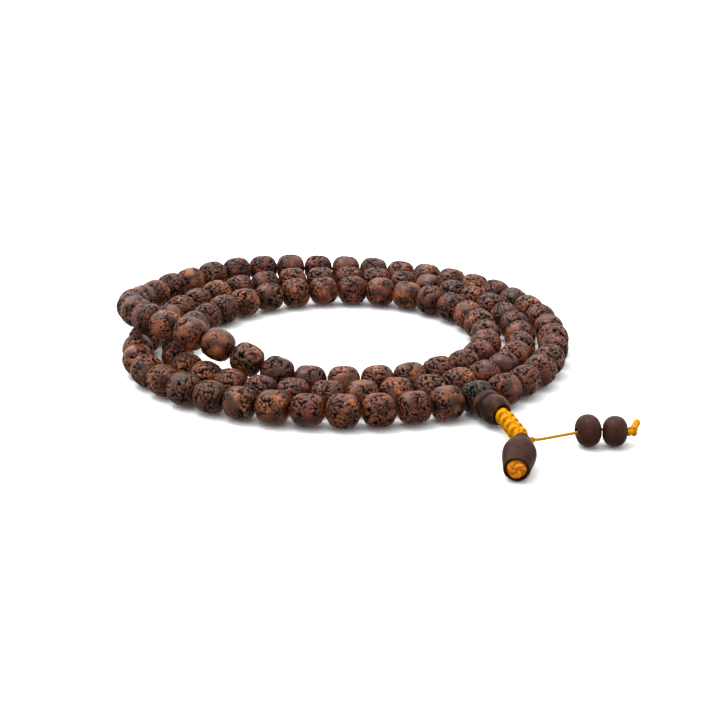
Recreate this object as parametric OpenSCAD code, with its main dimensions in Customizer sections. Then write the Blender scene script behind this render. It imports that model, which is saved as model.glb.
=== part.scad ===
// Mala prayer beads: one strand of turned seed beads wound into three flat turns,
// closed by a three-hole guru bead with its cap, a knotted tail, a bell bead and
// two counter beads on a thin cord. Millimetres, +Z up, resting on the plane Z = 0.

/* [Strand beads] */
// Number of counting beads on the strand
bead_count = 108; // [96:12:120]
// Average diameter of a counting bead
bead_d = 7.85; // [7:0.05:7.85]
// How far a bead's diameter is above or below the average
bead_d_spread = 0.25; // [0:0.05:0.25]
// Free cord between two neighbouring beads
bead_gap = 0.36; // [0.36:0.02:0.8]
// Radius of the hole through a bead
bead_bore_r = 0.75; // [0.6:0.05:0.85]
// Radius of the flat ring round a bead's hole
bead_end_r = 1.3; // [1:0.05:1.5]
// Squareness of a bead's barrel outline
bead_squareness = 2.8; // [2.2:0.1:3]
// One bead in this many is a node of its own that turns on the cord
spin_every = 3; // [3:1:9]

/* [Cords] */
// Radius of the strand's cord
strand_cord_r = 0.5; // [0.3:0.05:0.5]
// Radius of the doubled cord in the cap and the bell
core_cord_r = 0.7; // [0.5:0.05:0.75]
// Radius of the counters' thin cord
counter_cord_r = 0.28; // [0.2:0.02:0.34]

/* [Guru bead and cap] */
// Diameter of the three-hole guru bead
guru_d = 7.9; // [7.4:0.1:8]
// Diameter of the cap's flange
cap_flange_d = 6.8; // [6.6:0.1:7.4]
// Length of the cap from its flange to its mouth
cap_len = 6; // [5.8:0.1:6.4]

/* [Knots and bell] */
// Radius of the ball knot in the cap's mouth
ball_knot_r = 1.85; // [1.6:0.05:1.9]
// Radius of the widest part of each tail knot
tail_knot_r = 2.05; // [1.75:0.05:2.15]
// Number of knots in the stack after the ball knot
tail_knot_count = 3; // [2:1:4]
// Widest radius of the bell bead
bell_r = 3.6; // [3.4:0.05:3.6]
// Radius of the knot that plugs the bell's mouth
plug_r = 2.15; // [1.8:0.05:2.15]

/* [Counter beads] */
// Diameter of the counter bead nearer the tail
counter_1_d = 7.1; // [6.4:0.1:7.1]
// Diameter of the counter bead at the cord's end
counter_2_d = 6.7; // [6:0.1:6.7]
// Length of a counter bead
counter_len = 5.3; // [4.8:0.1:5.3]
// Radius of the hole through a counter bead
counter_bore_r = 0.85; // [0.85:0.05:1]
// Radius of the flat ring round a counter bead's hole
counter_end_r = 1.2; // [1.1:0.05:1.3]

/* [Hidden] */

// Height of the strand's axis where it lies on the ground
ground_z = 4.05;
// The strand's turns are laid out round their own middle, which stands here
coil_middle = [-5.1, 12.9, 0];

// The strand's route: angle round the coil, distance from its middle, lift off the ground.
// Turn 1 runs outside, then climbs over the other two at the left and drops to the inside.
strand_route = [
    [-50.5, 56.2, 0], [-30, 55.8, 0], [-10, 54.6, 0], [15, 53.8, 0], [45, 53.6, 0], [75, 53.8, 0.2],
    [100, 54.6, 1], [120, 55.8, 2], [140, 55.6, 2.2], [156, 54.6, 2.8], [170, 53.6, 4.8],
    [182, 52, 7.2], [195, 48.8, 8.5], [209, 44.8, 8.6], [221, 41, 7.9], [233, 38.2, 5],
    [246, 36.4, 1.6], [260, 36, 0], [283, 36.2, 0],
    [303, 37.6, 0], [322, 38.8, 0], [342, 38.4, 0], [362, 37.4, 0], [390, 36.8, 0], [430, 36.6, 0],
    [465, 35.8, 0], [490, 35.8, 0], [515, 36.4, 0], [532, 37.4, 0], [547, 39.6, 0],
    [561, 42.4, 0], [575, 44.2, 0], [590, 44.6, 0], [612, 44.8, 0], [635, 45, 0],
    [655, 46, 0], [675, 47.2, 0], [695, 47.4, 0], [715, 46.2, 0], [740, 45.4, 0], [770, 45.2, 0],
    [800, 45.4, 0], [825, 45.8, 0], [850, 46.4, 0], [872, 46, 0], [887, 45.8, 0],
    [899, 47.2, 0], [912, 50.4, 0], [925, 52.6, 0], [945, 53, 0], [980, 53.2, 0],
    [1000, 54, 0], [1021.5, 55, 0]
];

// The tail's places, measured from the coil's middle
bell_top = [39.9, -70.1, 4.35];
bell_mouth = [37.5, -83, 2.95];
counter_tie_at = [42.6, -68.4, 3.3];
counter_1_at = [54.8, -63.5, counter_1_d / 2];
counter_bend_at = [57.6, -62.4, 3.5];
counter_2_at = [60.6, -63.4, counter_2_d / 2];
end_bend_at = [63.5, -64.4, 3.3];
end_knot_at = [64.5, -62.9, 3.2];
end_tip_at = [66.2, -58.5, 3.4];
// Headings of the counter beads' own axes, and the tail's droop
counter_1_heading = 12;
counter_2_heading = -9;
tail_droop = 0.035;

// Clearances
cap_clearance = 0.5;
ball_clearance = 0.25;
bell_clearance = 0.25;
plug_clearance = 0.1;

// ---- Vector helpers ----
function unit(v) = v / norm(v);
function heading(v) = atan2(v[1], v[0]);
function tilt(v) = acos(v[2] / norm(v));
function between(a, b, t) = a + (b - a) * t;

// Puts the children's +Z axis on the line from one point to another, starting at the first
module along(start, end) {
    translate(start) rotate([0, tilt(end - start), heading(end - start)]) children();
}

// ---- Smooth curve through a list whose first column is the position ----
function slope(list, i, c) =
    let (before = max(i - 1, 0), after = min(i + 1, len(list) - 1))
    (list[after][c] - list[before][c]) / (list[after][0] - list[before][0]);
function span_at(list, x, i = 0) =
    (i >= len(list) - 2 || x < list[i + 1][0]) ? i : span_at(list, x, i + 1);
function smooth(list, x, c) =
    let (
        i = span_at(list, x),
        width = list[i + 1][0] - list[i][0],
        t = (x - list[i][0]) / width,
        t2 = t * t,
        t3 = t2 * t
    )
    (2 * t3 - 3 * t2 + 1) * list[i][c] + (t3 - 2 * t2 + t) * width * slope(list, i, c)
    + (3 * t2 - 2 * t3) * list[i + 1][c] + (t3 - t2) * width * slope(list, i + 1, c);

// ---- The strand's route in space ----
route_first = strand_route[0][0];
route_last = strand_route[len(strand_route) - 1][0];
route_steps = 1072;
function route_point(angle) =
    let (r = smooth(strand_route, angle, 1))
    [r * cos(angle), r * sin(angle), ground_z + max(0, smooth(strand_route, angle, 2))];
route_angles = [for (i = [0:route_steps]) between(route_first, route_last, i / route_steps)];
route_points = [for (a = route_angles) route_point(a)];
route_lengths = [
    for (i = 0, s = 0; i <= route_steps;
         s = s + (i < route_steps ? norm(route_points[i + 1] - route_points[i]) : 0), i = i + 1) s
];
strand_len = route_lengths[route_steps];
angle_by_length = [for (i = [0:route_steps]) [route_lengths[i], route_angles[i]]];

// The cord bends only at the joints between beads, and is straight inside each bead
joints = [for (k = [0:bead_count]) route_point(lookup(strand_len * k / bead_count, angle_by_length))];

// ---- Guru bead: it closes the gap between the strand's two ends ----
guru_at = between(joints[bead_count], joints[0], 0.5);
guru_dir = unit(joints[0] - joints[bead_count]);
guru_len = norm(joints[0] - joints[bead_count]) - bead_gap;
tail_dir = unit(cross(guru_dir, [0, 0, 1]) - [0, 0, tail_droop]);
cap_back = guru_at + tail_dir * (guru_d / 2 + cap_clearance);
cap_mouth = cap_back + tail_dir * cap_len;
ball_reach = 0.5;
ball_at = cap_mouth + tail_dir * ball_reach;

// ---- Bead outline ----
outline_steps = 6;
function bead_diameter(i) = bead_d + bead_d_spread * sin(i * 137.5);
// Distance from the bead's middle, as a share of its half length, closer together near the ends
function outline_share(k) = sin(90 * k / outline_steps);
function barrel_reach(half, r, end_r) =
    half / pow(1 - pow(end_r / r, bead_squareness), 1 / bead_squareness);
function barrel_r(x, half, r, end_r) =
    r * pow(1 - pow(abs(x) / barrel_reach(half, r, end_r), bead_squareness), 1 / bead_squareness);

// A barrel bead on the Z axis with a hole through it, its middle at the origin
module barrel(length, d, bore_r, end_r = bead_end_r) {
    half = length / 2;
    rotate_extrude($fn = 48)
        polygon(concat(
            [[bore_r, -half], [bore_r, half]],
            [for (k = [outline_steps:-1:-outline_steps])
                let (x = half * sign(k) * outline_share(abs(k)))
                [barrel_r(x, half, d / 2, end_r), x]]
        ));
}

// A bead between two joints of the cord
module bead_between(a, b, d, bore_r) {
    along(between(a, b, 0.5), b) barrel(norm(b - a) - bead_gap, d, bore_r);
}

module strand_bead(i) {
    color([0.33, 0.17, 0.12]) bead_between(joints[i - 1], joints[i], bead_diameter(i), bead_bore_r);
}

// ---- Which beads turn on their own, and which share a node ----
beads_per_turn = ceil(bead_count / 3);
function spins(i) = i % spin_every == 2;
spinning_beads = [for (i = [1:bead_count]) if (spins(i)) i];
function spin_name(i) = str("spin_bead_", i < 10 ? "00" : i < 100 ? "0" : "", i);
turn_names = ["turn_1_beads", "turn_2_beads", "turn_3_beads"];

module turn_beads(turn) {
    for (i = [1 + (turn - 1) * beads_per_turn:min(turn * beads_per_turn, bead_count)])
        if (!spins(i))
            strand_bead(i);
}

// ---- Cords ----
function ring_dir(path, i) =
    let (last = len(path) - 1)
    unit((i > 0 ? unit(path[i] - path[i - 1]) : [0, 0, 0])
        + (i < last ? unit(path[i + 1] - path[i]) : [0, 0, 0]));
function ring(path, i, r, sides) =
    let (d = ring_dir(path, i), side = unit(cross(d, [0, 0, 1])), up = cross(side, d))
    [for (k = [0:sides - 1]) path[i] + r * (cos(360 * k / sides) * side + sin(360 * k / sides) * up)];

// A tube swept along a path
module tube(path, r, sides = 8) {
    last = len(path) - 1;
    polyhedron(
        points = [for (i = [0:last]) each ring(path, i, r, sides)],
        faces = concat(
            [[for (k = [0:sides - 1]) k]],
            [for (i = [0:last - 1], k = [0:sides - 1])
                let (a = i * sides, b = a + sides, n = (k + 1) % sides)
                [a + k, b + k, b + n, a + n]],
            [[for (k = [sides - 1:-1:0]) last * sides + k]]
        )
    );
}

// Where the strand's two ends stop beside the doubled cord inside the guru bead
strand_end_gap = core_cord_r + 0.1;

module strand_cord() {
    color([0.95, 0.66, 0.08])
        tube(concat([guru_at + guru_dir * strand_end_gap], joints, [guru_at - guru_dir * strand_end_gap]),
             strand_cord_r);
}

// The strand's two ends leave the guru bead together through its third hole and the cap
module cap_cord() {
    color([0.95, 0.66, 0.08])
        along(guru_at, cap_mouth)
            cylinder(h = norm(cap_mouth - guru_at) + ball_reach - ball_knot_r - ball_clearance,
                     r = core_cord_r, $fn = 32);
}

// ---- Guru bead and its cap ----
guru_side_bore_r = core_cord_r + 0.3;

module guru_bead() {
    color([0.2, 0.15, 0.13])
        difference() {
            along(guru_at, guru_at + guru_dir) barrel(guru_len, guru_d, bead_bore_r);
            along(guru_at - tail_dir * bead_bore_r / 2, cap_back)
                cylinder(h = guru_d, r = guru_side_bore_r, $fn = 32);
        }
}

// Half outline of the cap, from its back face to its mouth: position along it, radius
cap_outline = [
    [0, cap_flange_d / 2 - 0.3], [0.3, cap_flange_d / 2], [0.9, cap_flange_d / 2],
    [1.25, cap_flange_d / 2 - 0.3], [1.4, 3], [1.7, 3], [2.1, 3.25], [2.8, 3.4],
    [3.8, 3.4], [4.8, 3.15], [5.6, 2.75], [cap_len, 2.3]
];

module guru_cap() {
    color([0.24, 0.18, 0.15])
        difference() {
            along(cap_back, cap_mouth)
                rotate_extrude($fn = 48)
                    polygon(concat(
                        [[guru_side_bore_r, 0]],
                        [for (p = cap_outline) [p[1], p[0]]],
                        [[guru_side_bore_r, cap_len]]
                    ));
            translate(ball_at) sphere(r = ball_knot_r + ball_clearance, $fn = 48);
        }
}

// ---- Tail: a ball knot that turns in the cap's mouth, and a stack of knots ----
stack_dir = unit(bell_top - ball_at);
stack_start = ball_knot_r - 0.3;
stack_end = norm(bell_top - ball_at) - 1.5;
stack_face_r = sqrt(pow(ball_knot_r, 2) - pow(stack_start, 2));

module ball_knot() {
    color([0.97, 0.7, 0.06])
        along(ball_at, bell_top)
            difference() {
                sphere(r = ball_knot_r, $fn = 48);
                translate([0, 0, stack_start]) cylinder(h = ball_knot_r, r = ball_knot_r, $fn = 48);
            }
}

// The stack's radius swells once for each knot
knot_steps = 8;
knot_waist = 0.55;
function knot_r(t) = stack_face_r + (tail_knot_r - stack_face_r) * pow(abs(sin(180 * t)), knot_waist);

module tail_knots() {
    total = tail_knot_count * knot_steps;
    color([0.97, 0.7, 0.06])
        along(ball_at + stack_dir * stack_start, bell_top)
            rotate_extrude($fn = 48)
                polygon(concat(
                    [[0, 0]],
                    [for (k = [0:total]) [knot_r(k / knot_steps), (stack_end - stack_start) * k / total]],
                    [[0, stack_end - stack_start]]
                ));
}

// ---- Bell bead, the cord through it and the knot that plugs its mouth ----
bell_len = norm(bell_mouth - bell_top);
bell_bore_r = core_cord_r + bell_clearance;
plug_depth = 2.6;
bell_outline = [
    [0, 1.45], [0.3, 1.75], [1, 1.75], [1.5, 1.85], [2.4, 2.15], [3.6, bell_r - 0.9],
    [5, bell_r - 0.25], [6.4, bell_r], [7.4, bell_r - 0.08], [8.6, bell_r - 0.2],
    [10.2, bell_r - 0.42], [12, bell_r - 0.67], [12.7, bell_r - 0.77], [bell_len, bell_r - 1.05]
];

module bell_bead() {
    color([0.22, 0.16, 0.14])
        along(bell_top, bell_mouth)
            rotate_extrude($fn = 48)
                polygon(concat(
                    [[bell_bore_r, 0]],
                    [for (p = bell_outline) [p[1], p[0]]],
                    [[plug_r + plug_clearance, bell_len], [plug_r + plug_clearance, bell_len - plug_depth],
                     [bell_bore_r, bell_len - plug_depth]]
                ));
}

plug_start = between(bell_top, bell_mouth, (bell_len - plug_depth + 0.1) / bell_len);

// The doubled cord between the last knot and the plug, bending at the bell's top
module tail_cord() {
    stack_end_at = ball_at + stack_dir * stack_end;
    color([0.95, 0.66, 0.08])
        tube([stack_end_at, between(stack_end_at, bell_top, 0.5), bell_top,
              between(bell_top, plug_start, 0.5), plug_start], core_cord_r, 12);
}

module plug_knot() {
    height = plug_depth - 0.1 + 0.5;
    color([0.85, 0.52, 0.12])
        along(plug_start, bell_mouth)
            rotate_extrude($fn = 48)
                polygon([[0, 0], [plug_r, 0], [plug_r, height - 0.8], [plug_r - 0.2, height - 0.4],
                         [plug_r - 0.7, height - 0.1], [0, height]]);
}

// ---- Thin cord with its counter beads ----
tie_turn_r = core_cord_r + counter_cord_r + 0.04;
tie_at = bell_top - stack_dir;
tie_knot_r = 0.5;

// A ring of thin cord round the tail, a short doubled lead and a small knot
module counter_tie() {
    lead_start = tie_at + [tie_turn_r + 0.1, 0, 0];
    color([0.97, 0.7, 0.06]) {
        along(tie_at, bell_top)
            rotate_extrude($fn = 48) translate([tie_turn_r, 0]) circle(r = counter_cord_r, $fn = 24);
        along(lead_start, counter_tie_at)
            cylinder(h = norm(counter_tie_at - lead_start) * 0.6, r = 0.4, $fn = 32);
        translate(between(lead_start, counter_tie_at, 0.6)) sphere(r = tie_knot_r, $fn = 32);
    }
}

// The thin cord runs slightly askew through the counter beads' roomy holes
counter_end = between(end_bend_at, end_knot_at, 0.7);
counter_path = [
    counter_tie_at,
    between(counter_tie_at, counter_1_at, 0.35),
    between(counter_tie_at, counter_1_at, 0.7),
    counter_1_at,
    counter_bend_at,
    counter_2_at,
    end_bend_at,
    counter_end
];

module counter_cord() {
    color([0.97, 0.7, 0.06]) tube(counter_path, counter_cord_r);
}

module counter_bead(middle, heading, d) {
    color([0.21, 0.16, 0.15])
        translate(middle) rotate([0, 90, heading])
            barrel(counter_len, d, counter_bore_r, counter_end_r);
}

end_knot_r = 1;
end_tail_r = 0.75;
end_ball_steps = 8;

// The knot at the thin cord's end and the short cut tail behind it
module end_knot() {
    tip = norm(end_tip_at - end_knot_at);
    color([0.97, 0.7, 0.06])
        along(end_knot_at, end_tip_at)
            rotate_extrude($fn = 32)
                polygon(concat(
                    [for (k = [0:end_ball_steps])
                        let (a = between(-90, 40, k / end_ball_steps))
                        [end_knot_r * cos(a), end_knot_r * sin(a)]],
                    [[end_tail_r, 1], [end_tail_r, tip], [end_tail_r - 0.25, tip + 0.3], [0, tip + 0.4]]
                ));
}

translate(coil_middle) {
    strand_cord();
    guru_bead();
    guru_cap();
    cap_cord();
    ball_knot();
    tail_knots();
    tail_cord();
    bell_bead();
    plug_knot();
    counter_tie();
    counter_cord();
    counter_bead(counter_1_at, counter_1_heading, counter_1_d);  // counter_bead_inner
    counter_bead(counter_2_at, counter_2_heading, counter_2_d);  // counter_bead_outer
    end_knot();
    for (turn = [1:3])
        turn_beads(turn);
    for (i = spinning_beads)
        strand_bead(i);
}
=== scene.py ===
import math
import random
import bpy
import numpy as np
from mathutils import Matrix, Vector, noise


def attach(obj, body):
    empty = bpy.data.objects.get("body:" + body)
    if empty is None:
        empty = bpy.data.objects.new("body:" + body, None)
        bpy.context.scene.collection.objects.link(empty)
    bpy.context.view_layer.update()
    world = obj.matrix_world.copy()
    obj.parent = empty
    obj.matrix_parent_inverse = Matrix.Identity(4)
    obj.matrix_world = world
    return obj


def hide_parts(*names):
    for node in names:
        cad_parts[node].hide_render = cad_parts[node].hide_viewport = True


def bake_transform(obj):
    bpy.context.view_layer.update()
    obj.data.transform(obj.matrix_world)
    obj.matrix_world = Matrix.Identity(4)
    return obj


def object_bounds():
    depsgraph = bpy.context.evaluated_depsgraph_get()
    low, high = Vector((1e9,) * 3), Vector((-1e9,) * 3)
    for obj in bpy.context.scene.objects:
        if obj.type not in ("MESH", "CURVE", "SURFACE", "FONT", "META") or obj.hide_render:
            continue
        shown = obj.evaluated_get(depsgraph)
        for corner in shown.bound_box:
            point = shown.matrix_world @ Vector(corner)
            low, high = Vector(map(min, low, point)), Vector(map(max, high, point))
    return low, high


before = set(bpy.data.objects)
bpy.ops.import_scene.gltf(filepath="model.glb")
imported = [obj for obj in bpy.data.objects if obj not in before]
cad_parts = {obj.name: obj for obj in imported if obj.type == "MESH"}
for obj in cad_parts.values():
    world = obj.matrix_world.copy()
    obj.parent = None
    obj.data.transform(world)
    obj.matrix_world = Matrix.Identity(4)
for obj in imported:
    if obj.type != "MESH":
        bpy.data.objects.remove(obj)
cad_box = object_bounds()

MM = 0.001
TURN = 2 * math.pi
UP = Vector((0, 0, 1))

# Without a seed of its own, noise_vector gives other values on each run
noise.seed_set(108)

# ---- Camera: looks along +Y and down, at a point near the coil's middle ----
COIL_MIDDLE = Vector((-5.1, 12.9, 0)) * MM
LOOK_AT = COIL_MIDDLE + Vector((5.6, -9.28, 0)) * MM
CAMERA_DISTANCE = 386.4 * MM
CAMERA_ELEVATION = math.radians(20)
LENS = 77.5
SENSOR_WIDTH = 36


def add_camera():
    data = bpy.data.cameras.new("camera")
    data.lens = LENS
    data.sensor_width = SENSOR_WIDTH
    data.clip_start = 0.01
    data.clip_end = 10
    camera = bpy.data.objects.new("camera", data)
    bpy.context.collection.objects.link(camera)
    direction = Vector((0, -math.cos(CAMERA_ELEVATION), math.sin(CAMERA_ELEVATION)))
    camera.location = LOOK_AT + direction * CAMERA_DISTANCE
    camera.rotation_euler = (math.pi / 2 - CAMERA_ELEVATION, 0, 0)
    bpy.context.scene.camera = camera


add_camera()

# ---- The strand's route, as in part.scad: angle in degrees, distance from the middle and lift in mm ----
STRAND_ROUTE = [
    # Turn 1: outside, then over the other two at the left and down to the inside
    (-50.5, 56.2, 0), (-30, 55.8, 0), (-10, 54.6, 0), (15, 53.8, 0), (45, 53.6, 0), (75, 53.8, 0.2),
    (100, 54.6, 1), (120, 55.8, 2), (140, 55.6, 2.2), (156, 54.6, 2.8), (170, 53.6, 4.8),
    (182, 52, 7.2), (195, 48.8, 8.5), (209, 44.8, 8.6), (221, 41, 7.9), (233, 38.2, 5),
    (246, 36.4, 1.6), (260, 36, 0), (283, 36.2, 0),
    # Turn 2: inside, then out to the middle lane
    (303, 37.6, 0), (322, 38.8, 0), (342, 38.4, 0), (362, 37.4, 0), (390, 36.8, 0), (430, 36.6, 0),
    (465, 35.8, 0), (490, 35.8, 0), (515, 36.4, 0), (532, 37.4, 0), (547, 39.6, 0),
    (561, 42.4, 0), (575, 44.2, 0), (590, 44.6, 0), (612, 44.8, 0), (635, 45, 0),
    # Turn 3: the middle lane, then outside to the guru bead
    (655, 46, 0), (675, 47.2, 0), (695, 47.4, 0), (715, 46.2, 0), (740, 45.4, 0), (770, 45.2, 0),
    (800, 45.4, 0), (825, 45.8, 0), (850, 46.4, 0), (872, 46, 0), (887, 45.8, 0),
    (899, 47.2, 0), (912, 50.4, 0), (925, 52.6, 0), (945, 53, 0), (980, 53.2, 0),
    (1000, 54, 0), (1021.5, 55, 0),
]
ROUTE_STEPS = 1072
GROUND_Z = 4.05

# ---- Beads, as in part.scad, in mm ----
BEAD_COUNT = 108
BEADS_PER_TURN = 36
BEAD_GAP = 0.36
BEAD_D = 7.85
BEAD_D_SPREAD = 0.25
GOLDEN_ANGLE = 137.5
GURU_D = 7.9
BORE_R = 0.75
END_R = 1.3
SQUARENESS = 2.8


def slope(rows, i, c):
    before, after = max(i - 1, 0), min(i + 1, len(rows) - 1)
    return (rows[after][c] - rows[before][c]) / (rows[after][0] - rows[before][0])


def smooth(rows, x, c):
    """A smooth curve through the rows' column c, over their first column."""
    i = 0
    while i < len(rows) - 2 and x >= rows[i + 1][0]:
        i += 1
    width = rows[i + 1][0] - rows[i][0]
    t = (x - rows[i][0]) / width
    return ((2 * t**3 - 3 * t**2 + 1) * rows[i][c] + (t**3 - 2 * t**2 + t) * width * slope(rows, i, c)
            + (3 * t**2 - 2 * t**3) * rows[i + 1][c] + (t**3 - t**2) * width * slope(rows, i + 1, c))


def route_point(degrees):
    r, a = smooth(STRAND_ROUTE, degrees, 1), math.radians(degrees)
    z = GROUND_Z + max(0, smooth(STRAND_ROUTE, degrees, 2))
    return COIL_MIDDLE + Vector((r * math.cos(a), r * math.sin(a), z)) * MM


def step_lengths(points):
    return [(b - a).length for a, b in zip(points, points[1:])]


def strand_joints():
    """The points between beads, at equal lengths along the route."""
    angles = np.linspace(STRAND_ROUTE[0][0], STRAND_ROUTE[-1][0], ROUTE_STEPS + 1)
    lengths = np.concatenate([[0], np.cumsum(step_lengths([route_point(a) for a in angles]))])
    wanted = np.linspace(0, lengths[-1], BEAD_COUNT + 1)
    return [route_point(a) for a in np.interp(wanted, lengths, angles)]


JOINTS = strand_joints()


def bead_diameter(i):
    return BEAD_D + BEAD_D_SPREAD * math.sin(math.radians(i * GOLDEN_ANGLE))


def bead_body(i):
    """The body and the CAD node that bead i belongs to."""
    if i % 3 == 2:
        return "bead_%03d" % i, "spin_bead_%03d" % i
    return "strand", "turn_%d_beads" % ((i - 1) // BEADS_PER_TURN + 1)


# ---- Tail, as in part.scad ----
def spot(x, y, z):
    """A point given in mm from the coil's middle."""
    return COIL_MIDDLE + Vector((x, y, z)) * MM


CAP_FROM_GURU = 4.45
CAP_LENGTH = 6.0
BALL_HEIGHT = CAP_LENGTH + 0.5
TAIL_DIP = 0.035

GURU_AT = (JOINTS[0] + JOINTS[-1]) / 2
GURU_DIR = (JOINTS[0] - JOINTS[-1]).normalized()
TAIL_DIR = (GURU_DIR.cross(UP) - UP * TAIL_DIP).normalized()
CAP_BACK = GURU_AT + TAIL_DIR * CAP_FROM_GURU * MM
BALL_AT = CAP_BACK + TAIL_DIR * BALL_HEIGHT * MM
BELL_TOP = spot(39.9, -70.1, 4.35)
BELL_MOUTH = spot(37.5, -83, 2.95)
STACK_DIR = (BELL_TOP - BALL_AT).normalized()
BELL_DIR = (BELL_MOUTH - BELL_TOP).normalized()
TIE_AT = BELL_TOP - STACK_DIR * MM
COUNTER_TIE = spot(42.6, -68.4, 3.3)
COUNTER_1 = spot(54.8, -63.5, 3.55)
COUNTER_BEND = spot(57.6, -62.4, 3.5)
COUNTER_2 = spot(60.6, -63.4, 3.35)
END_BEND = spot(63.5, -64.4, 3.3)
END_KNOT = spot(64.5, -62.9, 3.2)
END_TIP = spot(66.2, -58.5, 3.4)


# ---- Mesh helpers ----
def frame_along(direction):
    """A rotation that puts +Z on the direction."""
    return direction.to_track_quat("Z", "Y").to_matrix().to_4x4()


def mesh_object(name, verts, faces, attributes=None, uv=None):
    mesh = bpy.data.meshes.new(name)
    mesh.from_pydata([tuple(v) for v in verts], [], faces)
    mesh.polygons.foreach_set("use_smooth", [True] * len(faces))
    for key, values in (attributes or {}).items():
        layer = mesh.attributes.new(key, "FLOAT", "POINT")
        layer.data.foreach_set("value", np.asarray(values, np.float32))
    if uv is not None:
        layer = mesh.uv_layers.new(name="cord")
        layer.data.foreach_set("uv", np.asarray(uv, np.float32).ravel())
    mesh.update()
    obj = bpy.data.objects.new(name, mesh)
    bpy.context.collection.objects.link(obj)
    return obj


def lathe_grid(outline, sides):
    """Rings round Z through a closed outline of (radius, height): points and quads."""
    verts = [(r * math.cos(TURN * k / sides), r * math.sin(TURN * k / sides), z)
             for r, z in outline for k in range(sides)]
    n = len(outline)
    faces = [(i * sides + k, i * sides + (k + 1) % sides,
              (i + 1) % n * sides + (k + 1) % sides, (i + 1) % n * sides + k)
             for i in range(n) for k in range(sides)]
    return verts, faces


def barrel_outline(length, d, bore_r, end_r, squareness=SQUARENESS, steps=24):
    """A barrel bead's outside from its low end up, and its hole, as (radius, height) in mm."""
    half, r = length / 2, d / 2
    reach = half / (1 - (end_r / r) ** squareness) ** (1 / squareness)
    outside = []
    for k in range(-steps, steps + 1):
        x = half * math.sin(math.pi / 2 * k / steps)
        outside.append((r * (1 - (abs(x) / reach) ** squareness) ** (1 / squareness), x))
    lip = 0.06
    inner = half * 0.4
    hole = [(end_r - lip, half), (bore_r + lip, half), (bore_r, half - lip), (bore_r, inner),
            (bore_r, -inner), (bore_r, lip - half), (bore_r + lip, -half), (end_r - lip, -half)]
    return outside, hole


# ---- Seed beads: worm-track grooves cut into a barrel ----
PATTERNS = 12
PATTERN_LENGTH = 7.6
PATTERN_SHIFT = (7.31, 3.17, 5.53)
TRACK_DEPTH = 0.16
PIT_DEPTH = 0.2
LUMP_DEPTH = 0.16
FOLD_DEPTH = 0.06


def soft_step(low, high, x):
    t = min(max((x - low) / (high - low), 0), 1)
    return t * t * (3 - 2 * t)


def groove_at(p, seed, cover):
    """Track, pit and ridge, each from 0 to 1, at a point in mm on a bead.

    Tracks are the edges between bent cells, pits are the cells' corners and ridges are their middles.
    Cover is how much of the bead has tracks.
    """
    wide = noise.noise_vector(p * 0.22 + seed * 1.3) * 1.6
    middling = noise.noise_vector(p * 0.8 + seed * 1.7) * 0.55
    small = noise.noise_vector(p * 2.1 - seed) * 0.16
    distances, _ = noise.voronoi(p * 0.95 + seed + (wide + middling + small))
    edge = distances[1] - distances[0]
    corner = distances[2] - distances[0]
    patch = noise.noise(p * 0.3 - seed)
    strength = soft_step(0.3 - 0.6 * cover, 0.7 - 0.6 * cover, patch + 0.2)
    breaks = soft_step(-0.3, -0.02, noise.noise(p * 1.15 + seed * 2.9))
    width = 0.11 + 0.13 * (0.5 + 0.5 * noise.noise(p * 0.9 - seed * 2.1))
    track = (1 - soft_step(width * 0.35, width, edge)) * strength * breaks
    pit = (1 - soft_step(0.08, 0.3, corner)) * soft_step(-0.25, 0.15, patch) * breaks
    return track, pit, soft_step(0.1, 0.5, edge)


def seed_mesh(name, seed_number, cover, sides=112):
    """One pattern of bead at the average size, with its tracks, pits and tone as attributes."""
    outside, hole = barrel_outline(PATTERN_LENGTH, BEAD_D, BORE_R, END_R)
    outline = outside + hole
    verts, faces = lathe_grid(outline, sides)
    seed = Vector([seed_number * shift for shift in PATTERN_SHIFT])
    points, groove, pit, tone = [], [], [], []
    for n, v in enumerate(verts):
        p = Vector(v)
        ring = n // sides
        g = h = ridge = 0
        if 1 <= ring < len(outside) - 1:
            (r0, z0), (r1, z1) = outline[ring - 1], outline[ring + 1]
            radial = Vector((p.x, p.y, 0)).normalized()
            normal = radial * (z1 - z0) - UP * (r1 - r0)
            normal.normalize()
            g, h, ridge = groove_at(p, seed, cover)
            fade = soft_step(1.5, 2.2, math.hypot(p.x, p.y))
            g, h = g * fade, h * fade
            lump = 0.5 + 0.5 * noise.noise(p * 0.28 + seed * 0.3)
            p = p - normal * (TRACK_DEPTH * g + PIT_DEPTH * h + LUMP_DEPTH * lump * fade
                              + FOLD_DEPTH * (1 - ridge) * cover * fade)
        points.append(p * MM)
        groove.append(g)
        pit.append(h)
        tone.append(0.5 + 0.45 * noise.noise(p * 0.4 + seed * 2.3) + 0.25 * (ridge - 0.6) * cover)
    return mesh_object(name, points, faces, {"groove": groove, "pit": pit, "tone": tone})


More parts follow.
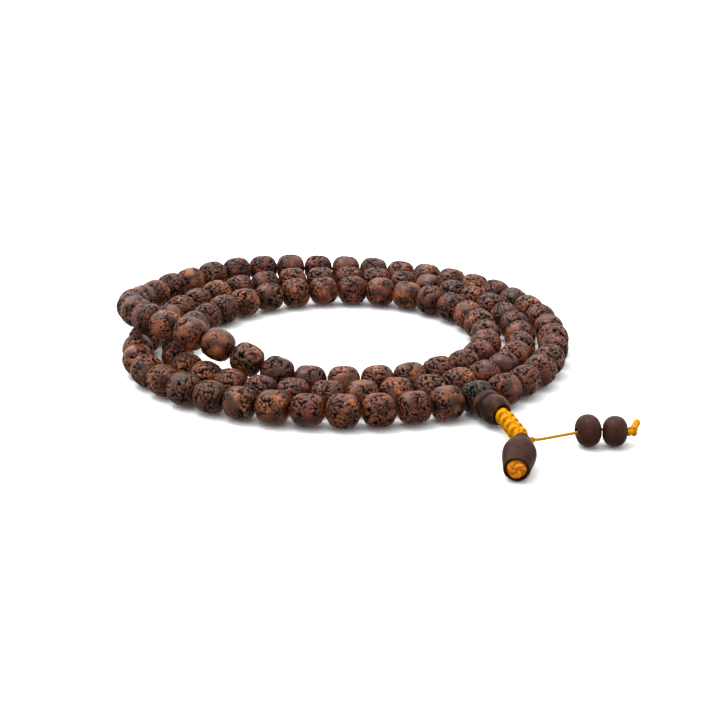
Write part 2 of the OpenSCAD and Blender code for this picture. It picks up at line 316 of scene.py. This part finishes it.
# ---- Node materials ----
class Nodes:
    """A small helper that adds shader nodes and links them."""

    def __init__(self, name):
        self.material = bpy.data.materials.new(name)
        self.material.use_nodes = True
        self.tree = self.material.node_tree
        self.shader = self.tree.nodes["Principled BSDF"]

    def add(self, kind, settings=None, **inputs):
        node = self.tree.nodes.new(kind)
        for key, value in (settings or {}).items():
            setattr(node, key, value)
        for key, value in inputs.items():
            self.feed(node.inputs[key.replace("_", " ")], value)
        return node

    def feed(self, socket, value):
        if isinstance(value, bpy.types.NodeSocket):
            self.tree.links.new(value, socket)
        else:
            socket.default_value = value

    def maths(self, operation, a, b=0.0):
        node = self.add("ShaderNodeMath", {"operation": operation})
        self.feed(node.inputs[0], a)
        self.feed(node.inputs[1], b)
        return node.outputs[0]

    def plus(self, a, b):
        return self.maths("ADD", a, b)

    def times(self, a, b):
        return self.maths("MULTIPLY", a, b)

    def mix(self, factor, a, b):
        node = self.add("ShaderNodeMix", {"data_type": "RGBA", "blend_type": "MIX"})
        self.feed(node.inputs[0], factor)
        self.feed(node.inputs[6], a)
        self.feed(node.inputs[7], b)
        return node.outputs[2]

    def spread(self, value, low, high, to_low=0.0, to_high=1.0):
        """The range low to high of the value, spread over to_low to to_high and held there beyond it."""
        node = self.add("ShaderNodeMapRange")
        for n, v in enumerate((value, low, high, to_low, to_high)):
            self.feed(node.inputs[n], v)
        return node.outputs[0]

    def attribute(self, name):
        return self.add("ShaderNodeAttribute", {"attribute_name": name}).outputs["Fac"]

    def place(self):
        return self.add("ShaderNodeTexCoord").outputs["Object"]

    def split(self, vector):
        return self.add("ShaderNodeSeparateXYZ", Vector=vector).outputs

    def noise(self, scale, detail=3.0, roughness=0.5, distortion=0.0):
        node = self.add("ShaderNodeTexNoise", Scale=scale, Detail=detail, Roughness=roughness,
                        Distortion=distortion, Vector=self.place())
        return node.outputs["Fac"]

    def bump(self, height, strength, distance, normal=None):
        node = self.add("ShaderNodeBump", Height=height, Strength=strength, Distance=distance)
        if normal is not None:
            self.feed(node.inputs["Normal"], normal)
        return node.outputs["Normal"]

    def finish(self, **inputs):
        for key, value in inputs.items():
            self.feed(self.shader.inputs[key.replace("_", " ")], value)
        return self.material


def rgb(r, g, b):
    """A colour given as 0 to 255 display values, as the linear values that a shader takes."""
    return tuple((c / 255) ** 2.2 for c in (r, g, b)) + (1.0,)


def seed_material(name, ridge, shade, dark):
    """Polished seed: tan-brown ridges, darker folds, near-black tracks and pits, a painted highlight on
    the highest ridges, and painted shade on the ends where they face the next bead.
    """
    n = Nodes(name)
    groove, pit, tone = n.attribute("groove"), n.attribute("pit"), n.attribute("tone")
    each = n.add("ShaderNodeObjectInfo").outputs["Random"]
    fine = n.noise(1400.0, 4.0, 0.6)
    blotch = n.noise(330.0, 3.0, 0.55)

    # Folds and ridges, each bead a little darker or paler than the next
    colour = n.mix(n.spread(tone, 0.35, 0.7), shade, ridge)
    colour = n.mix(n.spread(blotch, 0.42, 0.68, 0.0, 0.55), colour, ridge)
    colour = n.mix(n.spread(each, 0.0, 1.0, 0.0, 0.45), colour, shade)

    # Painted highlight: paler on the highest ridges
    painted_highlight = tuple(c * 1.45 + 0.03 for c in ridge[:3]) + (1.0,)
    colour = n.mix(n.spread(tone, 0.64, 0.84, 0.0, 0.85), colour, painted_highlight)

    # Dark specks, tracks and pits, and painted shade on the ends
    colour = n.mix(n.spread(fine, 0.56, 0.66, 0.0, 0.6), colour, dark)
    colour = n.mix(n.spread(groove, 0.15, 0.8, 0.0, 0.9), colour, dark)
    colour = n.mix(n.spread(pit, 0.2, 0.7), colour, dark)
    # Painted shade: darker near the hole, on the ends that face the next bead across the narrow gap
    x, y, _ = n.split(n.place())
    from_axis = n.maths("SQRT", n.plus(n.times(x, x), n.times(y, y)))
    colour = n.mix(n.spread(from_axis, 1.1 * MM, 2.3 * MM, 0.85, 0.0), colour, dark)

    # Polished on the ridges and dull in the tracks
    roughness = n.plus(n.spread(groove, 0.0, 0.8, 0.31, 0.75), n.spread(fine, 0.3, 0.7, -0.06, 0.1))
    gloss = n.spread(groove, 0.0, 0.8, 0.36, 0.06)
    normal = n.bump(fine, 0.35, 0.00006)
    relief = n.maths("SUBTRACT", n.noise(700.0, 2.0), n.times(groove, 0.8))
    normal = n.bump(relief, 0.5, 0.00009, normal)
    return n.finish(Base_Color=colour, Roughness=roughness, Normal=normal, Specular_IOR_Level=gloss)


def turned_material(name, colour_a, colour_b, streak=None):
    """Smooth turned dark wood with fine grain, pores, turning lines and a paler streak."""
    n = Nodes(name)
    grain = n.noise(620.0, 5.0, 0.6, distortion=0.6)
    pores = n.noise(2300.0, 2.0, 0.6)
    lines = n.add("ShaderNodeTexWave", {"bands_direction": "Z"}, Scale=900.0, Distortion=1.5,
                  Vector=n.place()).outputs["Fac"]
    colour = n.mix(n.spread(grain, 0.35, 0.68), colour_a, colour_b)
    if streak:
        colour = n.mix(n.spread(n.noise(170.0, 2.0), 0.5, 0.62, 0.0, 0.75), colour, streak)
    colour = n.mix(n.spread(pores, 0.6, 0.7, 0.0, 0.7), colour, rgb(20, 14, 12))
    roughness = n.plus(n.spread(grain, 0.3, 0.7, 0.34, 0.46), n.spread(pores, 0.5, 0.7, 0.0, 0.15))
    normal = n.bump(lines, 0.12, 0.00003)
    normal = n.bump(n.plus(grain, n.times(pores, -0.7)), 0.35, 0.00006, normal)
    return n.finish(Base_Color=colour, Roughness=roughness, Normal=normal, Specular_IOR_Level=0.12)


def cord_material(name, bright, deep, twist):
    """Twisted cord: strands that run slantwise along the tube's own coordinates, with painted shade in
    the creases between them.
    """
    n = Nodes(name)
    along, around, _ = n.split(n.add("ShaderNodeUVMap", {"uv_map": "cord"}).outputs[0])

    def slanted(along_rate, around_rate):
        phase = n.plus(n.times(along, along_rate), n.times(around, around_rate))
        return n.maths("ABSOLUTE", n.maths("SINE", n.times(phase, math.pi)))

    strand = slanted(twist, 3.0)
    fibre = slanted(twist * 3.0, -14.0)
    fuzz = n.noise(2600.0, 3.0, 0.6)
    # Painted shade: the deep colour in the creases between strands, the bright one on the strands' crowns
    colour = n.mix(n.spread(strand, 0.05, 0.75), deep, bright)
    colour = n.mix(n.spread(fuzz, 0.35, 0.7, 0.0, 0.35), colour, deep)
    normal = n.bump(n.plus(strand, n.times(fibre, 0.22)), 0.7, 0.00018)
    normal = n.bump(fuzz, 0.4, 0.00004, normal)
    return n.finish(Base_Color=colour, Roughness=0.75, Normal=normal, Specular_IOR_Level=0.1)


SEEDS = (
    seed_material("seed_tan", rgb(144, 80, 45), rgb(65, 30, 17), rgb(10, 5, 3)),
    seed_material("seed_red", rgb(119, 58, 36), rgb(53, 24, 13), rgb(10, 5, 3)),
    seed_material("seed_brown", rgb(127, 74, 45), rgb(49, 25, 14), rgb(10, 5, 3)),
)
SEED_GURU = seed_material("seed_guru", rgb(62, 36, 22), rgb(28, 15, 9), rgb(8, 5, 3))
TURNED = turned_material("turned_bell", rgb(62, 31, 16), rgb(40, 19, 9))
TURNED_COUNTER = turned_material("turned_counter", rgb(71, 43, 33), rgb(50, 30, 23))
TURNED_CAP = turned_material("turned_cap", rgb(58, 34, 24), rgb(30, 18, 13), rgb(112, 72, 44))
YELLOW = cord_material("yellow_cord", rgb(222, 156, 2), rgb(172, 100, 1), 1.1)
# The strand's cord is the yellow cord darkened to brown: painted shade, for where it runs in the gaps
# between the beads
STRAND = cord_material("strand_cord", rgb(120, 80, 26), rgb(74, 46, 14), 1.1)
THIN = cord_material("thin_yellow_cord", rgb(216, 148, 3), rgb(174, 104, 1), 0.9)
PLUG = cord_material("orange_cord", rgb(238, 144, 40), rgb(186, 100, 16), 1.0)


# ---- Paths and tubes ----
def line_between(start, end, count):
    return [start.lerp(end, k / count) for k in range(count)] + [end]


def resample(points, spacing):
    """The same line with points at an even spacing."""
    lengths = np.concatenate([[0], np.cumsum(step_lengths(points))])
    count = max(2, int(round(lengths[-1] / spacing)) + 1)
    wanted = np.linspace(0, lengths[-1], count)
    columns = [np.interp(wanted, lengths, [p[c] for p in points]) for c in range(3)]
    return [Vector(p) for p in zip(*columns)]


def rounded(points, times=2):
    """Corners cut, keeping the ends."""
    for _ in range(times):
        cut = [points[0]]
        for a, b in zip(points, points[1:]):
            cut += [a.lerp(b, 0.25), a.lerp(b, 0.75)]
        points = cut + [points[-1]]
    return points


def ring_path(middle, direction, tilt_axis, tilt, radius_a, radius_b, count=28):
    """A closed oval round the direction, tipped over the tilt axis."""
    turn = Matrix.Rotation(tilt, 3, tilt_axis) @ frame_along(direction).to_3x3()
    return [middle + turn @ Vector((radius_a * math.cos(t), radius_b * math.sin(t), 0))
            for t in (TURN * k / count for k in range(count))]


def trefoil(middle, direction, big, small, count=60):
    """The closed path of an overhand knot round the direction."""
    turn = frame_along(direction).to_3x3()
    path = []
    for k in range(count):
        t = TURN * k / count
        r = big + small * math.cos(3 * t)
        flat = Vector((r * math.cos(2 * t), r * math.sin(2 * t), small * math.sin(3 * t)))
        path.append(middle + turn @ flat)
    return path


def tube(name, path, radius, sides=12, closed=False, tip=0.6):
    """A tube along a path, with coordinates along and round it for the twist.

    Open ends are rounded, and tip is how far they stand out, in radii.
    """
    n = len(path)
    tangents = []
    for i in range(n):
        if closed:
            d = path[(i + 1) % n] - path[i - 1]
        else:
            d = path[min(i + 1, n - 1)] - path[max(i - 1, 0)]
        tangents.append(d.normalized())
    side = tangents[0].orthogonal().normalized()
    rings, along, total = [], [], 0.0
    for i in range(n):
        if i:
            total += (path[i] - path[i - 1]).length
        side = (side - tangents[i] * side.dot(tangents[i])).normalized()
        rings.append((path[i], side.copy(), tangents[i].cross(side), radius))
        along.append(total)
    if not closed:
        start, start_side, start_up, _ = rings[0]
        end, end_side, end_up, _ = rings[-1]
        for k in (0.3, 0.75, 0.97):
            r = radius * math.sqrt(1 - k * k)
            rings.insert(0, (start - tangents[0] * radius * tip * k, start_side, start_up, r))
            along.insert(0, -radius * tip * k)
            rings.append((end + tangents[-1] * radius * tip * k, end_side, end_up, r))
            along.append(total + radius * tip * k)
    verts = [p + (s * math.cos(TURN * k / sides) + u * math.sin(TURN * k / sides)) * r
             for p, s, u, r in rings for k in range(sides)]

    m = len(rings)
    faces, uv = [], []
    scale = 1 / (2 * radius)
    for i in range(m if closed else m - 1):
        j = (i + 1) % m
        low = along[i] * scale
        high = (along[j] if j else along[i] + (path[0] - path[-1]).length) * scale
        for k in range(sides):
            after = (k + 1) % sides
            faces.append((i * sides + k, i * sides + after, j * sides + after, j * sides + k))
            uv += [(low, k / sides), (low, (k + 1) / sides), (high, (k + 1) / sides), (high, k / sides)]
    if not closed:
        faces.append(tuple(range(sides - 1, -1, -1)))
        uv += [(along[0] * scale, k / sides) for k in range(sides - 1, -1, -1)]
        faces.append(tuple((m - 1) * sides + k for k in range(sides)))
        uv += [(along[-1] * scale, k / sides) for k in range(sides)]
    return mesh_object(name, verts, faces, uv=uv)


def join(name, parts):
    """Several mesh objects made into one."""
    bpy.ops.object.select_all(action="DESELECT")
    for part in parts:
        part.select_set(True)
    bpy.context.view_layer.objects.active = parts[0]
    bpy.ops.object.join()
    parts[0].name = name
    parts[0].data.name = name
    return parts[0]


def dress(obj, material, slot, body, *nodes):
    """Gives a piece its material, and puts it on its body in place of its CAD nodes; slot is not used."""
    obj.data.materials.clear()
    obj.data.materials.append(material)
    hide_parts(*nodes)
    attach(obj, body)


# ---- Cords ----
STEPS_PER_BEAD = 4
STRAND_CORD_R = 0.5 * MM
TAIL_CORD_R = 0.68 * MM
THIN_CORD_R = 0.32 * MM


def add_strand_cord():
    inside_guru = 0.8 * MM
    path = [GURU_AT + GURU_DIR * inside_guru] + JOINTS + [GURU_AT - GURU_DIR * inside_guru]
    fine = []
    for a, b in zip(path, path[1:]):
        fine += line_between(a, b, STEPS_PER_BEAD)[:-1]
    fine.append(path[-1])
    obj = tube("strand_cord_twisted", fine, STRAND_CORD_R, sides=10)
    dress(obj, STRAND, "yellow_cord", "strand", "strand_cord")


def loop_round_tail():
    """One turn of the thin cord round the tail at its tie, from a little past its lead."""
    radius = 1.02 * MM
    rise = 0.5 * MM
    past_lead = 0.5
    steps = 30
    turn = frame_along(STACK_DIR).to_3x3()
    lead = turn.inverted() @ (COUNTER_TIE - TIE_AT)
    start = math.atan2(lead.y, lead.x) + past_lead
    loop = []
    for k in range(steps + 1):
        a = start + TURN * k / steps
        lift = (k / steps - 0.5) * rise
        loop.append(TIE_AT + turn @ Vector((radius * math.cos(a), radius * math.sin(a), lift)))
    return loop


def add_counter_cord():
    """From a loop round the tail, through both counter beads, to the end knot."""
    loop = loop_round_tail()
    straight = [COUNTER_TIE.lerp(COUNTER_1, t) for t in (0, 0.35, 0.7, 1)]
    rest = straight + [COUNTER_BEND, COUNTER_2, END_BEND, END_BEND.lerp(END_KNOT, 0.75)]
    path = loop[:-2] + resample(rounded(loop[-2:] + rest), 0.45 * MM)
    obj = tube("counter_cord_twisted", path, THIN_CORD_R, sides=10)
    obj.data.materials.append(THIN)
    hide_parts("counter_cord")
    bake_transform(obj)
    return obj, path, sum(step_lengths(path))


add_strand_cord()
counter_cord, counter_path, counter_length = add_counter_cord()

# ---- Beads on the strand: how much of each pattern has tracks, and the colours that beads draw ----
COVERS = (1.0, 0.95, 0.65, 1.0, 0.7, 0.9)
COLOUR_DRAW = (0, 0, 1, 1, 2)


def add_seed_beads():
    masters = []
    for k in range(PATTERNS):
        masters.append(seed_mesh("seed_pattern_%02d" % k, k + 1, COVERS[k % len(COVERS)]))
    rng = random.Random(108)
    for i in range(1, BEAD_COUNT + 1):
        a, b = JOINTS[i - 1], JOINTS[i]
        master = masters[rng.randrange(PATTERNS)]
        obj = bpy.data.objects.new("seed_%03d" % i, master.data.copy())
        bpy.context.collection.objects.link(obj)
        length = (b - a).length / MM - BEAD_GAP
        width = bead_diameter(i) / BEAD_D
        obj.data.transform(Matrix.Diagonal((width, width, length / PATTERN_LENGTH, 1)))
        flip = -1 if rng.random() < 0.5 else 1
        roll = Matrix.Rotation(rng.random() * TURN, 4, "Z")
        direction = (b - a).normalized() * flip
        obj.matrix_world = Matrix.Translation((a + b) / 2) @ frame_along(direction) @ roll
        body, node = bead_body(i)
        dress(obj, SEEDS[rng.choice(COLOUR_DRAW)], "seed_bead", body, node)
    for master in masters:
        bpy.data.objects.remove(master)


add_seed_beads()

# ---- Turned pieces, in mm: outlines are (radius, height) from the piece's start ----
CAP_BACK_FACE = [(1.0, -0.1), (1.8, -0.2), (2.5, -0.5), (3.0, -0.85), (3.12, -0.92), (3.25, -0.88),
                 (3.36, -0.7)]
CAP_FLANGE = [(3.42, -0.4), (3.42, 0.7), (3.38, 0.95), (3.25, 1.15), (3.02, 1.3), (2.98, 1.5)]
CAP_MOUTH = [(2.2, CAP_LENGTH), (2.04, CAP_LENGTH)]
CAP_CUP_R = 2.1
CAP_BORE = [(1.0, CAP_LENGTH - 1.35)]

# Points on smooth outsides, as (height, radius)
CAP_DOME = [(1.6, 3.0), (2.1, 3.25), (2.8, 3.4), (3.8, 3.38), (4.8, 3.12), (5.5, 2.75), (5.95, 2.35)]
BELL_SIDE = [(0.3, 1.7), (1.2, 1.76), (2.2, 2.02), (3.2, 2.5), (4.2, 3.02), (5.2, 3.4), (6.2, 3.58),
             (7.2, 3.57), (8.6, 3.42), (10.2, 3.18), (12, 2.9), (12.7, 2.8)]
BELL_SIDE_STEPS = 44
BELL_BORE_R = 0.95
BELL_MOUTH_R = 2.25
BELL_MOUTH_DEPTH = 2.6

COUNTER_LENGTH = 5.3
COUNTER_BORE_R = 0.85
COUNTER_END_R = 1.2
COUNTER_SQUARENESS = 2.25


def turned(name, outline, start, direction, sides=96):
    verts, faces = lathe_grid([(r * MM, z * MM) for r, z in outline], sides)
    obj = mesh_object(name, verts, faces)
    obj.matrix_world = Matrix.Translation(start) @ frame_along(direction)
    return obj


def flipped(obj):
    """Turns the faces outwards where the outline ran the other way."""
    obj.data.flip_normals()
    return obj


def add_guru_bead():
    length = (JOINTS[0] - JOINTS[-1]).length / MM - BEAD_GAP
    guru = seed_mesh("guru_seed", seed_number=31, cover=0.8)
    guru.data.transform(Matrix.Diagonal((GURU_D / BEAD_D, GURU_D / BEAD_D, length / PATTERN_LENGTH, 1)))
    guru.matrix_world = Matrix.Translation(GURU_AT) @ frame_along(GURU_DIR)
    dress(guru, SEED_GURU, "dark_turned_bead", "strand", "guru_bead")


def add_cap():
    """A flange, a groove and a dome, with a round cup for the ball knot in the mouth."""
    dome = [(smooth(CAP_DOME, x, 1), x) for x in np.linspace(1.65, 5.95, 22)]
    cup = [(CAP_CUP_R * math.cos(a), BALL_HEIGHT - CAP_CUP_R * math.sin(a))
           for a in np.linspace(0.35, 1.0, 7)]
    outline = CAP_BACK_FACE + CAP_FLANGE + dome + CAP_MOUTH + cup + CAP_BORE
    cap = flipped(turned("guru_cap_turned", outline, CAP_BACK, TAIL_DIR))
    dress(cap, TURNED_CAP, "dark_turned_bead", "cap", "guru_cap")


def add_bell():
    """A narrow neck, a round shoulder and a wide mouth for the plug."""
    length = (BELL_MOUTH - BELL_TOP).length / MM
    low, high = BELL_SIDE[0][0], BELL_SIDE[-1][0]
    heights = [low + (high - low) * k / BELL_SIDE_STEPS for k in range(BELL_SIDE_STEPS + 1)]
    top = [(BELL_BORE_R, 0), (1.4, 0.02), (1.62, 0.12)]
    side = [(smooth(BELL_SIDE, x, 1), x) for x in heights]
    rim = [(2.72, length - 0.12), (2.55, length), (2.32, length), (BELL_MOUTH_R, length - 0.1)]
    inside = [(r, length - BELL_MOUTH_DEPTH) for r in (BELL_MOUTH_R, BELL_BORE_R)]
    bell = flipped(turned("bell_turned", top + side + rim + inside, BELL_TOP, BELL_DIR))
    dress(bell, TURNED, "dark_turned_bead", "bell", "bell_bead")


def add_counter(which, middle, heading, d):
    """A counter bead, with its hole level and headed some degrees round from +X."""
    outside, hole = barrel_outline(COUNTER_LENGTH, d, COUNTER_BORE_R, COUNTER_END_R, COUNTER_SQUARENESS)
    a = math.radians(heading)
    direction = Vector((math.cos(a), math.sin(a), 0))
    counter = turned("counter_%s_turned" % which, outside + hole, middle, direction)
    dress(counter, TURNED_COUNTER, "dark_turned_bead", which + "_counter", "counter_bead_" + which)


add_guru_bead()
add_cap()
add_bell()
add_counter("inner", COUNTER_1, 12, 7.1)
add_counter("outer", COUNTER_2, -9, 6.7)

# ---- Knots, in mm, and the rings' tilt in degrees ----
TAIL_RINGS = 9
RING_R = 1.0
FIRST_RING_R = 0.8
RING_FLATNESS = 0.92
RING_CORD_R = 0.86
RING_TILT = 32
RING_SHIFT = 0.38
TAIL_CORE_R = 1.25
PLUG_DEPTH = 2.4
PLUG_CORE_R = 2.12
PLUG_CORD_R = 0.66


def add_tail_knots():
    """A snake knot: rings tipped one way and the other round a core, the first one in the cap's mouth."""
    side = STACK_DIR.cross(UP).normalized()
    tilt_axis = (UP + side * 0.3).normalized()
    first, last = 0.1 * MM, (BELL_TOP - BALL_AT).length - 2.3 * MM
    parts = []
    for k in range(TAIL_RINGS):
        way = 1 if k % 2 else -1
        shift = side * RING_SHIFT * way * MM if k else Vector()
        middle = BALL_AT + STACK_DIR * (first + (last - first) * k / (TAIL_RINGS - 1)) + shift
        r = RING_R if k else FIRST_RING_R
        tilt = math.radians(-RING_TILT * way)
        path = ring_path(middle, STACK_DIR, tilt_axis, tilt, r * RING_FLATNESS * MM, r * MM)
        parts.append(tube("ring", path, RING_CORD_R * MM, sides=16, closed=True))
    core = line_between(BALL_AT, BELL_TOP - STACK_DIR * 2.0 * MM, 12)
    parts.append(tube("core", core, TAIL_CORE_R * MM, sides=16))
    dress(join("tail_knots_wound", parts), YELLOW, "yellow_cord", "tail", "ball_knot", "tail_knots")


def add_tail_cords():
    """The doubled cord through the bell, and the one through the guru bead and the cap."""
    path = [BELL_TOP - STACK_DIR * 1.8 * MM, BELL_TOP, BELL_MOUTH - BELL_DIR * PLUG_DEPTH * MM]
    path = resample(rounded(path), 0.6 * MM)
    dress(tube("tail_cord_twisted", path, TAIL_CORD_R), YELLOW, "yellow_cord", "tail", "tail_cord")
    path = line_between(GURU_AT, BALL_AT - TAIL_DIR * 2.2 * MM, 8)
    dress(tube("cap_cord_twisted", path, TAIL_CORD_R), YELLOW, "yellow_cord", "strand", "cap_cord")


def add_plug():
    """An overhand knot that fills the bell's mouth, on a core."""
    knot = trefoil(BELL_MOUTH - BELL_DIR * 0.5 * MM, BELL_DIR, 1.1 * MM, 0.42 * MM)
    core = line_between(BELL_MOUTH - BELL_DIR * PLUG_DEPTH * MM, BELL_MOUTH - BELL_DIR * 0.6 * MM, 6)
    parts = [tube("plug_a", knot, PLUG_CORD_R * MM, sides=14, closed=True),
             tube("plug_b", core, PLUG_CORE_R * MM, sides=32, tip=0.25)]
    dress(join("plug_knot_tied", parts), PLUG, "plug_cord", "tail", "plug_knot")


def add_tie():
    """The thin cord's knot at the bell's shoulder, and its lead from the tail."""
    towards = (COUNTER_TIE - TIE_AT).normalized()
    knot = trefoil(COUNTER_TIE - towards * 0.35 * MM, towards, 0.36 * MM, 0.2 * MM, count=40)
    lead = line_between(TIE_AT + towards * 1.1 * MM, COUNTER_TIE - towards * 0.3 * MM, 6)
    parts = [tube("tie_a", knot, 0.27 * MM, sides=10, closed=True), tube("tie_b", lead, 0.42 * MM)]
    dress(join("tie_knot", parts), THIN, "thin_cord", "tail", "counter_tie")


def add_end_knot():
    """The thin cord's end knot with its cut tail, and the stem that comes out of the outer counter."""
    knot = trefoil(END_KNOT, (END_TIP - END_KNOT).normalized(), 0.55 * MM, 0.3 * MM)
    sag = Vector((0.15, 0.1, 0.1)) * MM
    tail = [END_KNOT, END_KNOT.lerp(END_TIP, 0.3) - sag, END_KNOT.lerp(END_TIP, 0.7) - sag * 0.4, END_TIP]
    tail = resample(rounded(tail), 0.3 * MM)
    stem = line_between(END_BEND - Vector((0.1, 0, 0)) * MM, END_KNOT, 4)
    parts = [tube("end_a", knot, 0.42 * MM, closed=True), tube("end_b", tail, 0.78 * MM, sides=14),
             tube("end_c", stem, 0.7 * MM, sides=14)]
    obj = join("end_knot_tied", parts)
    dress(obj, THIN, "thin_cord", "counter_line", "end_knot")
    return obj


add_tail_knots()
add_tail_cords()
add_plug()
add_tie()
end_knot = add_end_knot()

# ---- Floor and light, in metres ----
FLOOR_REACH = 30.0
FLOOR_BELOW = 0.05 * MM


def add_floor():
    """A pale floor that takes shadows but throws no light back on the beads."""
    mesh = bpy.data.meshes.new("floor")
    w = FLOOR_REACH
    mesh.from_pydata([(-w, -w, 0), (w, -w, 0), (w, w, 0), (-w, w, 0)], [], [(0, 1, 2, 3)])
    floor = bpy.data.objects.new("floor", mesh)
    floor.location.z = cad_box[0][2] - FLOOR_BELOW
    bpy.context.collection.objects.link(floor)
    n = Nodes("floor_white")
    colour = n.mix(n.noise(40.0, 2.0, 0.5), (0.93, 0.93, 0.93, 1), (0.96, 0.96, 0.96, 1))
    floor.data.materials.append(n.finish(Base_Color=colour, Roughness=0.9))
    floor.visible_diffuse = False
    floor.visible_glossy = False


def add_sun(name, towards, strength, width):
    """A sun in the direction given, as wide as that many degrees of sky."""
    data = bpy.data.lights.new(name, "SUN")
    data.energy = strength
    data.angle = math.radians(width)
    light = bpy.data.objects.new(name, data)
    light.rotation_euler = (-Vector(towards)).to_track_quat("-Z", "Y").to_euler()
    bpy.context.collection.objects.link(light)


def add_world(strength, under):
    """A white world, darker below the horizon, where under is the share of its strength that is left."""
    world = bpy.data.worlds.new("white")
    world.use_nodes = True
    nodes, links = world.node_tree.nodes, world.node_tree.links
    split = nodes.new("ShaderNodeSeparateXYZ")
    links.new(nodes.new("ShaderNodeTexCoord").outputs["Generated"], split.inputs[0])
    fade = nodes.new("ShaderNodeMapRange")
    for n, v in enumerate((-0.5, -0.02, under * strength, strength), 1):
        fade.inputs[n].default_value = v
    links.new(split.outputs[2], fade.inputs[0])
    background = nodes["Background"]
    background.inputs["Color"].default_value = (1, 1, 1, 1)
    links.new(fade.outputs[0], background.inputs["Strength"])
    bpy.context.scene.world = world


add_floor()
add_world(1.0, 0.35)
add_sun("key", (-0.2, 0.35, 1.0), 2.1, 100)
add_sun("spark", (-0.35, 0.1, 1.0), 1.1, 24)
bpy.context.scene.view_settings.view_transform = "Standard"
